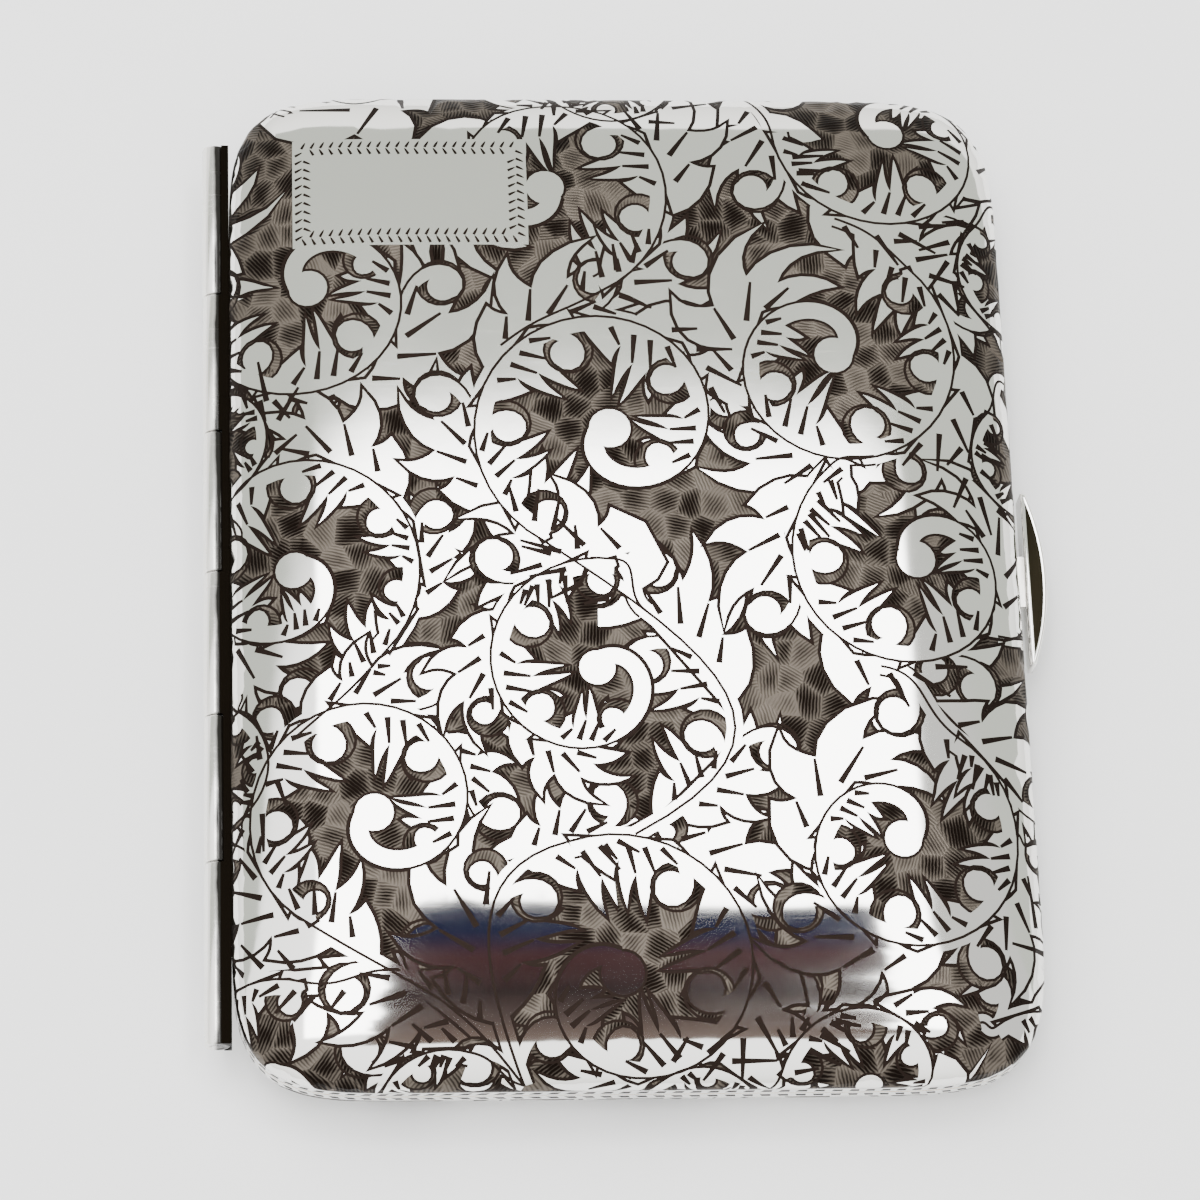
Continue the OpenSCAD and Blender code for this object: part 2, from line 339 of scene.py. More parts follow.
class Vine:
    """A stem that winds up into a scroll, with places measured along it and off to its left."""

    def __init__(self, x, y, radius, start, sweep, from_x, from_y, heading, bow=1.4):
        self.middle, self.radius = (x, y), radius
        self.way = 1 if sweep > 0 else -1
        spiral = []
        count = int(abs(sweep) / 8)
        for i in range(count + 1):
            a = math.radians(start + sweep * i / count)
            reach = self.reach(abs(sweep) / 90 * (1 - i / count))
            spiral.append((x + reach * math.cos(a), y + reach * math.sin(a)))
        (x0, y0), (x1, y1) = spiral[0], spiral[1]
        size = bow * math.hypot(x0 - from_x, y0 - from_y)
        step = math.hypot(x1 - x0, y1 - y0)
        out = (size * math.cos(math.radians(heading)), size * math.sin(math.radians(heading)))
        into = (size * (x1 - x0) / step, size * (y1 - y0) / step)
        stem = []
        for i in range(STEM_STEPS):
            t = i / STEM_STEPS
            a, b = 2 * t ** 3 - 3 * t ** 2 + 1, t ** 3 - 2 * t ** 2 + t
            c, d = 3 * t ** 2 - 2 * t ** 3, t ** 3 - t ** 2
            stem.append((a * from_x + b * out[0] + c * x0 + d * into[0],
                         a * from_y + b * out[1] + c * y0 + d * into[1]))
        self.line = stem + spiral
        self.turns = [ON_STEM] * STEM_STEPS + [abs(sweep) / 90 * (1 - i / count) for i in range(count + 1)]
        spots = np.array(self.line)
        self.run = np.concatenate([[0], np.cumsum(np.hypot(*np.diff(spots, axis=0).T))])
        slope = np.gradient(spots, self.run, axis=0)
        slope /= np.linalg.norm(slope, axis=1)[:, None]
        self.spots, self.slope = spots, slope

    def reach(self, quarters):
        """Distance of the line from the ball's middle, so many quarter turns before its end."""
        return self.radius * (0.22 + 1.17 * (1 - math.exp(-(quarters / 2.05) ** 1.45)))

    def place(self, along, off=0.0):
        """The point off to the left of the line, and the heading there."""
        x, y, dx, dy = (float(np.interp(along, self.run, c)) for c in (*self.spots.T, *self.slope.T))
        return x - dy * off, y + dx * off, math.atan2(dy, dx)

    def run_at(self, quarters):
        """The distance along the line where fewer quarter turns than this are left."""
        return next(r for r, q in zip(self.run, self.turns) if q < quarters)

    def inside(self):
        """The outline of the scroll's last full turn."""
        return [p for p, q in zip(self.line, self.turns) if q <= 4.05]


# A five-pointed and a three-pointed leaf. Each corner gives the place along the stem, the height off
# it and how far the edge to the next corner swells, as shares of the leaf's length
LEAVES = (
    ((-0.50, -0.05, 0.12), (-0.06, 0.46, -0.10), (0.02, 0.27, 0.12), (0.22, 0.78, -0.10), (0.27, 0.40, 0.12),
     (0.70, 0.80, -0.08), (0.52, 0.40, 0.10), (0.98, 0.54, -0.08), (0.66, 0.22, 0.08), (1.04, 0.20, 0.06),
     (0.56, -0.05, 0.0)),
    ((-0.44, -0.05, 0.12), (0.04, 0.56, -0.10), (0.12, 0.30, 0.12), (0.50, 0.80, -0.10), (0.42, 0.35, 0.10),
     (0.92, 0.46, -0.06), (0.62, 0.14, 0.04), (0.54, -0.05, 0.0)),
)
# The shading cuts at the root of each leaf, in the same measure
LEAF_CUTS = (
    ((-0.14, 0.10), (0.00, 0.27)), ((0.12, 0.12), (0.26, 0.40)),
    ((0.30, 0.10), (0.52, 0.34)), ((0.48, 0.06), (0.72, 0.15)),
)
CUT_WIDTH = 0.6
# How tall a leaf may stand off its stem, largest first
LEAF_HEIGHTS = (7.8, 7.2, 6.6, 6.0, 5.2, 4.4, 3.6, 2.9, 2.2)


def leaf(vine, along, side, size, corners):
    """A leaf that grows off one side of a vine and follows its bend."""
    outline = []
    for (t0, n0, swell), (t1, n1, _) in zip(corners, corners[1:] + corners[:1]):
        middle = (t0 + t1) / 2 - swell * (n1 - n0) * 2, (n0 + n1) / 2 + swell * (t1 - t0) * 2
        for share in (0, 0.2, 0.4, 0.6, 0.8) if swell else (0,):
            a, b, c = (1 - share) ** 2, 2 * share * (1 - share), share ** 2
            t = a * t0 + b * middle[0] + c * t1
            n = a * n0 + b * middle[1] + c * n1
            outline.append(vine.place(along + t * size, side * n * size)[:2])
    return outline


def tendril(x, y, angle, length, side, ball):
    """A stem that curls over and ends in a ball: its line, its body, its ball and the hollow behind it."""
    points = [(x, y)]
    count = 12
    for i in range(count):
        t = (i + 0.5) / count
        angle += side * 4.0 / count * (0.1 + 1.8 * t)
        x, y = x + length / count * math.cos(angle), y + length / count * math.sin(angle)
        points.append((x, y))
    widths = [0.35 + 1.0 * math.sin(math.pi * (0.1 + 0.62 * i / count)) for i in range(count + 1)]
    body = points + offset_line(points, [side * w for w in widths])[::-1]
    inward = angle + side * math.pi / 2
    middle = (x + (ball - 0.05) * math.cos(inward), y + (ball - 0.05) * math.sin(inward))
    hollow = (middle[0] + 0.45 * math.cos(inward), middle[1] + 0.45 * math.sin(inward))
    return points, body, disc(*middle, ball), disc(*hollow, ball + 0.75)


def grow(art, rng, vine, side, first, last, room):
    """Leaves and tendrils in turn along one side of a vine. Room gives how tall they may be."""
    leaves, curls, cuts = [], [], []
    along = first
    turn = rng.random() < 0.5
    while along < last:
        tall = room(along + 1.5)
        if tall < 2.0:
            along += 1.0
            continue
        size = tall / 0.74 * rng.uniform(0.93, 1.05)
        if turn or tall < 2.6:
            x, y, angle = vine.place(along)
            curls.append((side, tendril(x, y, angle + side * 0.35, size, side, min(1.4, 0.18 * size))))
            along += 0.4 * size
        else:
            along += 0.5 * size
            corners = LEAVES[0] if size > 5 else LEAVES[1]
            leaves.append(leaf(vine, along, side, size, corners))
            for cut in LEAF_CUTS[1:3] if size < 5 else LEAF_CUTS:
                cuts.append([vine.place(along + t * size, side * n * size)[:2] for t, n in cut])
            along += 0.62 * size
        turn = not turn
    line = art.sizes.line
    for outline in leaves:
        art.paint(grown(outline, line * 1.3), LINE)
    for _, (_, body, ball, _) in curls:
        art.paint(grown(body, line * 1.3), LINE)
        art.paint(grown(ball, line), LINE)
    for outline in leaves:
        art.paint(outline, SILVER)
    for _, (_, _, _, hollow) in curls:
        art.paint(grown(hollow, line), LINE)
        art.paint(hollow, GROUND)
    for way, (points, body, ball, _) in curls:
        none, thin = [0.0] * len(points), [line] * len(points)
        art.strip(points, *((none, thin) if way > 0 else (thin, none)), LINE)
        art.paint(grown(ball, line), LINE)
        art.paint(body, SILVER)
        art.paint(ball, SILVER)
    return cuts


def open_room(vines, vine, along, side, clear=0.5):
    """How far a leaf may rise off one side of a vine before it nears another line."""
    x, y, heading = vine.place(along)
    near = np.concatenate([v.spots for v in vines if v is not vine]
                          + [vine.spots[np.abs(vine.run - along) > 7.0], [vine.middle]])
    for tall in LEAF_HEIGHTS:
        tip = (x - side * tall * math.sin(heading), y + side * tall * math.cos(heading))
        if np.hypot(*(near - tip).T).min() > 0.2 * tall + clear:
            return tall
    return 0.0


# Quarter turns left where a scroll starts and where the leaves outside and inside it end
SCROLL_START, OUTER_END, INNER_END = 8, 2.1, 1.7
STEM_WIDTH, BAND_WIDTH = 0.75, 1.5


def one_sided(widths, way):
    """Widths to the left and right of a line, all on the side that the line turns to."""
    none = [0.0] * len(widths)
    return (widths, none) if way > 0 else (none, widths)


def draw_vines(art, rng, table):
    """All the vines: what grows outside them, then inside their scrolls, then their lines."""
    vines = [Vine(*row) for row in table]
    cuts = []
    for vine in vines:
        outer_end, started = vine.run_at(OUTER_END), vine.run_at(SCROLL_START)
        bare = [STEM_WIDTH * min(1, max(0, q - 1.9)) for q in vine.turns]
        edge = [w + art.sizes.line for w in bare]
        art.strip(vine.line, edge, edge, LINE)
        for side, last in ((-vine.way, outer_end), (vine.way, started)):
            cuts += grow(art, rng, vine, side, 2.0, last,
                         lambda a, v=vine, s=side: open_room(vines, v, a, s))
        art.strip(vine.line, bare, bare, SILVER)
    for vine in vines:
        art.paint(vine.inside(), GROUND)
    for vine in vines:
        begin = next(i for i, q in enumerate(vine.turns) if q < SCROLL_START)
        line, ball = vine.line[begin:], 0.2 * vine.radius
        wide = []
        for q in vine.turns[begin:]:
            w = BAND_WIDTH if q > 2 else BAND_WIDTH + 0.6 * math.sin(math.pi * q / 2)
            wide.append(min(w, ball))
        cut = [w + art.sizes.line for w in wide]
        art.strip(line, *one_sided(cut, vine.way), LINE)
        art.paint(disc(*vine.middle, ball + art.sizes.line), LINE)
        cuts += grow(art, rng, vine, vine.way, vine.run_at(SCROLL_START), vine.run_at(INNER_END),
                     lambda a, v=vine: open_room([v], v, a, v.way, 1.9))
        art.strip(line, *one_sided(wide, vine.way), SILVER)
        art.paint(disc(*vine.middle, ball), SILVER)
    for vine in vines:
        half = [art.sizes.line / 2] * len(vine.line)
        art.strip(vine.line, half, half, LINE)
    for cut in cuts:
        art.stroke(cut, CUT_WIDTH)


# The vines of the front: the ball of the scroll, its radius, the angle where it starts, how far it
# turns, and where its stem leaves its parent and in what direction
FRONT_VINES = (
    (-39.0, 13.5, 5.0, -80, 330, -36.0, 3.0, 60), (-39.5, -19.5, 5.2, 60, -330, -36.0, -12.0, -60),
    (38.5, 10.5, 5.0, 130, 330, 37.0, 19.0, 160), (39.0, -13.0, 5.2, 110, -330, 34.0, -7.0, 0),
    (38.8, 29.5, 5.4, 130, 330, 38.0, 38.0, 180), (39.2, -33.0, 5.4, 120, -330, 34.5, -26.0, 10),
    (0.5, 52.0, 5.4, 200, 330, -7.0, 53.5, -90), (-26.0, 51.5, 5.6, 160, -330, -33.0, 47.0, 60),
    (-38.5, 43.5, 6.2, 60, 340, -31.0, 47.5, 150), (36.5, -50.5, 6.2, 130, -340, 30.0, -44.0, 20),
    (20.0, -50.0, 6.4, 170, -330, 5.0, -55.0, 60), (-33.5, -48.5, 7.2, 70, 350, -21.7, -38.9, 175),
    (-18.0, -53.0, 5.6, 70, 330, -10.8, -49.5, 160), (5.5, -53.5, 4.8, 150, -330, -4.0, -54.0, 60),
    (26.1, 44.3, 8.4, 180, 370, 13.0, 53.0, -110), (-6.8, 37.8, 9.0, -65, 390, -11.4, 21.3, 40),
    (-29.2, 27.5, 9.0, 165, 375, -39.5, 37.5, -100), (-30.8, -0.7, 8.6, -45, 450, -31.0, -17.0, 40),
    (-23.8, -24.3, 8.7, 240, -420, -10.8, -49.5, 125), (-2.0, -39.4, 9.8, 110, -380, -10.8, -49.5, 110),
    (-1.5, 12.9, 9.6, 240, -420, -0.5, -26.6, 28, 2.0), (-3.4, -10.7, 8.2, 80, 365, 1.2, -5.2, 142),
    (19.7, 20.4, 8.9, 50, -410, 20.5, 34.6, -20), (26.4, 0.0, 9.0, 130, 380, 23.0, 10.2, 190),
    (23.7, -27.1, 8.4, 60, -420, 22.5, -10.6, -8),
)


def panel(art, low, high):
    """A blank panel with a wriggle-cut border of two rows."""
    (x0, y0), (x1, y1) = low, high
    border, pitch, length, width, lean_angle = 1.9, 0.9, 0.8, 0.26, 28
    left, right, bottom, top = x0 - border, x1 + border, y0 - border, y1 + border
    art.paint([(left, bottom), (right, bottom), (right, top), (left, top)], SILVER)
    for row, lean in ((0.5, 1), (1.3, -1)):
        for y, sign in ((y0 - row, -1), (y1 + row, 1)):
            for i in range(int((x1 - x0 + 2 * row) / pitch)):
                x = x0 - row + pitch * (i + 0.5)
                art.dash(x, y, math.radians(90 + lean_angle * lean * sign), length, width)
        for x, sign in ((x0 - row, -1), (x1 + row, 1)):
            for i in range(int((y1 - y0 + 2 * row) / pitch)):
                y = y0 - row + pitch * (i + 0.5)
                art.dash(x, y, math.radians(lean_angle * lean * sign), length, width)


def milled_rim(art, sizes):
    """A plain rim with a row of slanted nicks."""
    band, nick_top, nick_low, lean_low, lean_top = 1.25, 0.95, 0.35, 0.62, 0.5
    upper, lower = ring(RIM_RUN - band, RIM_POINTS), ring(RIM_RUN, RIM_POINTS)
    for i in range(RIM_POINTS):
        j = (i + 1) % RIM_POINTS
        art.layers.append(([upper[i], lower[i], lower[j], upper[j]], SILVER))
    nicks = int((2 * HALF_W + 2 * HALF_L - 4 * SHOULDER + math.pi * SHOULDER) / sizes.mill_pitch)
    high, low = ring(RIM_RUN - nick_top, nicks), ring(RIM_RUN - nick_low, nicks)
    for i in range(nicks):
        j = (i + 1) % nicks
        across = [(at[0] + share * (to[0] - at[0]), at[1] + share * (to[1] - at[1]))
                  for at, to, share in ((low[i], low[j], lean_low), (high[i], high[j], lean_top))]
        art.layers.append(([high[i], low[i], *across], LINE))


# ---------------------------------------------------------------- from the drawing to a shell

def chisel_cells(rng, size):
    """Seeds of the ground's cells, and the ridges between the cells."""
    reach_x, reach_y = CORE_X + RIM_RUN + size, CORE_Y + RIM_RUN + size
    seeds = []
    rows = int(2 * reach_y / size)
    columns = int(2 * reach_x / size)
    for j in range(rows + 1):
        for i in range(columns + 1):
            u = -reach_x + size * (i + 0.5 * (j % 2) + rng.uniform(-0.34, 0.34))
            v = -reach_y + size * (j + rng.uniform(-0.34, 0.34))
            seeds.append(Vector((u, v)))
    _, _, faces, _, _, _ = geometry.delaunay_2d_cdt(seeds, [], [], 0, 1e-6)
    middles, sides, ridges = [], {}, []
    for n, face in enumerate(faces):
        a, b, c = (seeds[k] for k in face)
        bx, by, cx, cy = b.x - a.x, b.y - a.y, c.x - a.x, c.y - a.y
        d = 2 * (bx * cy - by * cx)
        ux = (cy * (bx * bx + by * by) - by * (cx * cx + cy * cy)) / d
        uy = (bx * (cx * cx + cy * cy) - cx * (bx * bx + by * by)) / d
        middles.append((a.x + ux, a.y + uy))
        for p, q in zip(face, face[1:] + face[:1]):
            other = sides.setdefault((min(p, q), max(p, q)), n)
            if other != n:
                ridges.append((other, n))
    return [tuple(s) for s in seeds], middles, ridges


def inside_domain(point):
    """Whether a point lies within the ornament's edge."""
    du, dv = max(abs(point[0]) - CORE_X, 0), max(abs(point[1]) - CORE_Y, 0)
    return (du ** CORNER_POWER + dv ** CORNER_POWER) ** (1 / CORNER_POWER) < EDGE_RUN


def covered(points, outline):
    """Which points a closed outline winds round."""
    x, y = points[:, 0], points[:, 1]
    winding = np.zeros(len(points), dtype=np.int32)
    for (x0, y0), (x1, y1) in zip(outline, outline[1:] + outline[:1]):
        left = (x1 - x0) * (y - y0) - (x - x0) * (y1 - y0)
        winding += (y0 <= y) & (y < y1) & (left > 0)
        winding -= (y1 <= y) & (y < y0) & (left < 0)
    return winding != 0


def kinds_at(points, layers):
    """The kind of the topmost layer over each point."""
    order = np.argsort(points[:, 0])
    ranked = points[order]
    kinds = np.full(len(points), GROUND, dtype=np.int32)
    for outline, kind in layers:
        xs, ys = zip(*outline)
        first, last = np.searchsorted(ranked[:, 0], (min(xs), max(xs)))
        some = ranked[first:last]
        near = np.nonzero((some[:, 1] >= min(ys)) & (some[:, 1] <= max(ys)))[0]
        if len(near):
            inside = covered(some[near], outline)
            kinds[first + near[inside]] = kind
    found = np.empty_like(kinds)
    found[order] = kinds
    return found


def flat_triangles(points, edges, layers):
    """Triangles between constrained edges inside the rim, with the kind of each."""
    verts, _, faces, _, _, _ = geometry.delaunay_2d_cdt([Vector(p) for p in points], edges, [], 0, 1e-5)
    flat = np.array([tuple(v) for v in verts])
    fans = {tuple(sorted(t)): t
            for f in faces for t in ((f[0], f[k], f[k + 1]) for k in range(1, len(f) - 1))}
    tris = np.array([t for t in fans.values() if len(set(t)) == 3])
    middles = flat[tris].mean(axis=1)
    inside = covered(middles, ring(RIM_RUN, RIM_POINTS))
    tris, middles = tris[inside], middles[inside]
    return flat, tris, kinds_at(middles, layers)


def closed_loop(points, edges, outline):
    first = len(points)
    points.extend(outline)
    count = len(outline)
    edges.extend((first + i, first + (i + 1) % count) for i in range(count))


def triangulated(art, rng, sizes):
    """The drawing as flat triangles. Hidden lines are dropped before the final ones are made."""
    points, edges = [], []
    closed_loop(points, edges, ring(RIM_RUN, RIM_POINTS))
    for outline, _ in art.layers:
        closed_loop(points, edges, outline)
    flat, tris, kinds = flat_triangles(points, edges, art.layers)
    sides = {}
    for corners, kind in zip(tris.tolist(), kinds.tolist()):
        for p, q in zip(corners, corners[1:] + corners[:1]):
            sides.setdefault((min(p, q), max(p, q)), []).append(kind)
    seen = [pair for pair, both in sides.items() if len(both) == 1 or both[0] != both[1]]
    used = {}
    points, edges = [], []
    for pair in seen:
        for k in pair:
            if k not in used:
                used[k] = len(points)
                points.append(tuple(flat[k]))
        edges.append((used[pair[0]], used[pair[1]]))
    seeds, middles, ridges = chisel_cells(rng, sizes.cell)
    ridges = [(a, b) for a, b in ridges if inside_domain(middles[a]) and inside_domain(middles[b])]
    halfway = np.array([[(middles[a][k] + middles[b][k]) / 2 for k in (0, 1)] for a, b in ridges])
    for (a, b), kind in zip(ridges, kinds_at(halfway, art.layers)):
        if kind == GROUND:
            edges.append((len(points), len(points) + 1))
            points.extend((middles[a], middles[b]))
    points.extend(s for s in seeds if inside_domain(s))
    for run in SHOULDER_RINGS:
        points.extend(ring(run, RIM_POINTS))
    flat, tris, kinds = flat_triangles(points, edges, art.layers)
    return flat, tris, kinds, seeds


def depth_of(tree, u, v, sizes):
    """How deep the cut ground lies, from its cell's ridge to its middle."""
    (_, _, near), (_, _, far) = tree.find_n((u, v, 0), 2)
    share = min((far - near) / sizes.cell, 1)
    return sizes.line_depth + (sizes.ground_depth - sizes.line_depth) * share, 1 - share


def engraved_shell(name, art, rng, sizes, flip):
    """The engraved outside of a shell, with its cuts sunk into it."""
    flat, tris, kinds, seeds = triangulated(art, rng, sizes)
    bm = bmesh.new()
    made = [bm.verts.new((x, y, 0)) for x, y in flat]
    sunk = []
    for corners, kind in zip(tris.tolist(), kinds.tolist()):
        face = bm.faces.new([made[k] for k in corners])
        face.material_index = kind
        if kind != SILVER:
            sunk.append(face)
    bmesh.ops.delete(bm, geom=[v for v in bm.verts if not v.link_faces], context="VERTS")
    lowered = bmesh.ops.extrude_face_region(bm, geom=sunk)["geom"]
    bottoms = {g for g in lowered if isinstance(g, bmesh.types.BMFace)}
    low_verts = {v for f in bottoms for v in f.verts}
    tree = kdtree.KDTree(len(seeds))
    for i, (u, v) in enumerate(seeds):
        tree.insert((u, v, 0), i)
    tree.balance()
    bm.faces.ensure_lookup_table()
    for vert in low_verts:
        only_ground = all(f.material_index == GROUND for f in vert.link_faces if f in bottoms)
        depth, _ = depth_of(tree, vert.co.x, vert.co.y, sizes)
        vert.co.z = -depth if only_ground else -sizes.line_depth
    tone = bm.loops.layers.float_color.new("cut")
    for face in bm.faces:
        if face not in bottoms and abs(face.normal.z) < 0.5:
            levels = {round(v.co.z, 4) for v in face.verts}
            if len(levels) > 1:
                face.material_index = LINE
        if face.material_index == GROUND:
            middle = face.calc_center_median()
            _, cell, _ = tree.find((middle.x, middle.y, 0))
            shade = random.Random(cell * 31 + 5)
            level, turn = shade.random(), shade.random()
            for loop in face.loops:
                _, ridge = depth_of(tree, loop.vert.co.x, loop.vert.co.y, sizes)
                loop[tone] = (level, ridge, turn, 1)
    return draped_mesh(bm, name, sizes, 1, flip)


def as_mesh(bm, name):
    mesh = bpy.data.meshes.new(name)
    bm.to_mesh(mesh)
    bm.free()
    return mesh


def draped_mesh(bm, name, sizes, facing, flip):
    """The mesh of a flat shell laid over the cushion, facing outwards (1) or inwards (-1)."""
    mesh = as_mesh(bm, name)
    flat = np.empty(len(mesh.vertices) * 3)
    mesh.vertices.foreach_get("co", flat)
    placed, normal = drape(flat.reshape(-1, 3), sizes.crown)
    place_shell(mesh, placed, facing * normal, flip)
    return mesh


def place_shell(mesh, placed, normal, flip):
    """Moves draped points to the front or the back, and gives the polished faces true normals."""
    if flip:
        placed = placed * (1, 1, -1) + (0, 0, BACK_RIM_Z)
        normal = normal * (1, 1, -1)
        mesh.flip_normals()
    else:
        placed = placed + (0, 0, RIM_Z)
    mesh.vertices.foreach_set("co", (placed * MM).ravel())
    kinds = np.empty(len(mesh.polygons), dtype=np.int32)
    mesh.polygons.foreach_get("material_index", kinds)
    smooth = (kinds == SILVER) | (kinds == GILT)
    mesh.polygons.foreach_set("use_smooth", smooth)
    totals = np.empty(len(mesh.polygons), dtype=np.int32)
    mesh.polygons.foreach_get("loop_total", totals)
    owners = np.repeat(np.arange(len(totals)), totals)
    corners = np.empty(len(mesh.loops), dtype=np.int32)
    mesh.loops.foreach_get("vertex_index", corners)
    custom = np.where(smooth[owners][:, None], normal[corners], 0)
    mesh.update()
    mesh.normals_split_custom_set(custom.tolist())


def lining(name, sizes, flip):
    """The smooth inside of a shell, a wall's thickness under the outside, with the rim."""
    points = [Vector(p) for p in ring(RIM_RUN, RIM_POINTS)]
    for run in SHOULDER_RINGS:
        points.extend(Vector(p) for p in ring(run, RIM_POINTS))
    for run in range(1, int(RIM_RUN - 5)):
        points.extend(Vector(p) for p in ring(run, 90))
    verts, _, tris, _, _, owners = geometry.delaunay_2d_cdt(points, [], [list(range(RIM_POINTS))], 0, 1e-5)
    bm = bmesh.new()
    made = [bm.verts.new((p.x, p.y, -WALL)) for p in verts]
    for corners, o in zip(tris, owners):
        if o:
            bm.faces.new([made[k] for k in corners[::-1]]).material_index = GILT
    bmesh.ops.delete(bm, geom=[v for v in bm.verts if not v.link_faces], context="VERTS")
    edge = [e for e in bm.edges if len(e.link_faces) == 1]
    lip = bmesh.ops.extrude_edge_only(bm, edges=edge)["geom"]
    for g in lip:
        if isinstance(g, bmesh.types.BMVert):
            g.co.z = 0
        elif isinstance(g, bmesh.types.BMFace):
            g.material_index = SILVER
    return draped_mesh(bm, name, sizes, -1, flip)


# ---------------------------------------------------------------- the small parts

def finished(bm, name, smooth=True):
    """A mesh from a bmesh in millimetres, with its faces turned outwards."""
    bmesh.ops.recalc_face_normals(bm, faces=bm.faces)
    bmesh.ops.scale(bm, vec=(MM, MM, MM), verts=bm.verts)
    for face in bm.faces:
        face.smooth = smooth
    return as_mesh(bm, name)


def barrel(name, node):
    """One knuckle: a tube with eased ends, turned about the pin."""
    low, high = corners_mm(node)
    ease = 0.14
    knee = ease * 0.3
    profile = [(BORE_R, low[1]), (KNUCKLE_R - ease, low[1]), (KNUCKLE_R - knee, low[1] + knee),
               (KNUCKLE_R, low[1] + ease), (KNUCKLE_R, high[1] - ease), (KNUCKLE_R - knee, high[1] - knee),
               (KNUCKLE_R - ease, high[1]), (BORE_R, high[1])]
    bm = bmesh.new()
    verts = [bm.verts.new((AXIS_X + r, y, AXIS_Z)) for r, y in profile]
    edges = [bm.edges.new((a, b)) for a, b in zip(verts, verts[1:] + verts[:1])]
    bmesh.ops.spin(bm, geom=verts + edges, cent=(AXIS_X, 0, AXIS_Z), axis=(0, 1, 0),
                   angle=2 * math.pi, steps=64, use_merge=True)
    return finished(bm, name)


def thumb_press(name):
    """The D-shaped press: a flat top and bottom, painted near-black as a dark reflection, inside a bright
    rounded edge.
    """
    low, high = corners_mm("thumb_piece")
    half = (high[1] - low[1]) / 2
    rise = high[0] - low[0] - THUMB_END
    bow = (half ** 2 + rise ** 2) / (2 * rise)
    outline = [(low[0], -half)]
    steps = 48
    for i in range(steps + 1):
        y = -half + 2 * half * i / steps
        outline.append((high[0] - bow + math.sqrt(bow ** 2 - y ** 2), y))
    outline.append((low[0], half))
    bm = bmesh.new()
    floor = bm.faces.new([bm.verts.new((x, y, low[2])) for x, y in outline])
    raised = bmesh.ops.extrude_face_region(bm, geom=[floor])["geom"]
    top = [g for g in raised if isinstance(g, bmesh.types.BMVert)]
    bmesh.ops.translate(bm, vec=(0, 0, high[2] - low[2]), verts=top)
    bmesh.ops.recalc_face_normals(bm, faces=bm.faces)
    rims = [e for e in bm.edges if abs(e.verts[0].co.z - e.verts[1].co.z) < 1e-6]
    bmesh.ops.bevel(bm, geom=rims, offset=0.42, offset_type="OFFSET", segments=5, profile=0.5,
                    affect="EDGES", material=-1, clamp_overlap=True)
    # The flat top and bottom take the second finish, near-black: a painted dark reflection
    flats = [f for f in bm.faces if abs(f.normal.z) > 0.99 and f.calc_area() > half]
    for f in flats:
        bmesh.ops.inset_individual(bm, faces=[f], thickness=0.1, depth=-0.05)
        f.material_index = 1
    return finished(bm, name)


def leaf_spring(name):
    """The spring with its nose, cut across often enough to bend, and where it is held and pushed."""
    low, high = corners_mm("catch_spring")
    bm = bmesh.new()
    bm.from_mesh(frame["nodes"]["catch_spring"].data)
    bmesh.ops.scale(bm, vec=(1 / MM,) * 3, verts=bm.verts)
    bmesh.ops.remove_doubles(bm, verts=bm.verts, dist=0.002)
    held = corners_mm("spring_rivets")[0][1] - 0.6
    pushed = corners_mm("catch_tang")[1][1] + 0.6
    steps = 14
    for i in range(steps + 1):
        y = pushed + (held - pushed) * i / steps
        bmesh.ops.bisect_plane(bm, geom=[*bm.verts, *bm.edges, *bm.faces], plane_co=(0, y, 0),
                               plane_no=(0, 1, 0))
    middle = ((low[0] + high[0]) / 2, (low[2] + high[2]) / 2)
    mesh = finished(bm, name, False)
    return mesh, (middle[0], held, middle[1]), (middle[0], pushed, middle[1])


def strap_path():
    """The middle line of the strap: a loop round each bar and the straight run between them."""
    loop_steps, run_steps, wrapped = 26, 90, 290
    end = []
    for i in range(loop_steps + 1):
        a = math.radians(90 - wrapped * i / loop_steps)
        end.append((BAR_Y + BAND_TURN * math.cos(a), BAR_Z + BAND_TURN * math.sin(a)))
    start = [(-y, z) for y, z in end[::-1]]
    straight = [(-BAR_Y + 2 * BAR_Y * i / run_steps, BAR_Z + BAND_TURN) for i in range(1, run_steps)]
    return start + straight + end


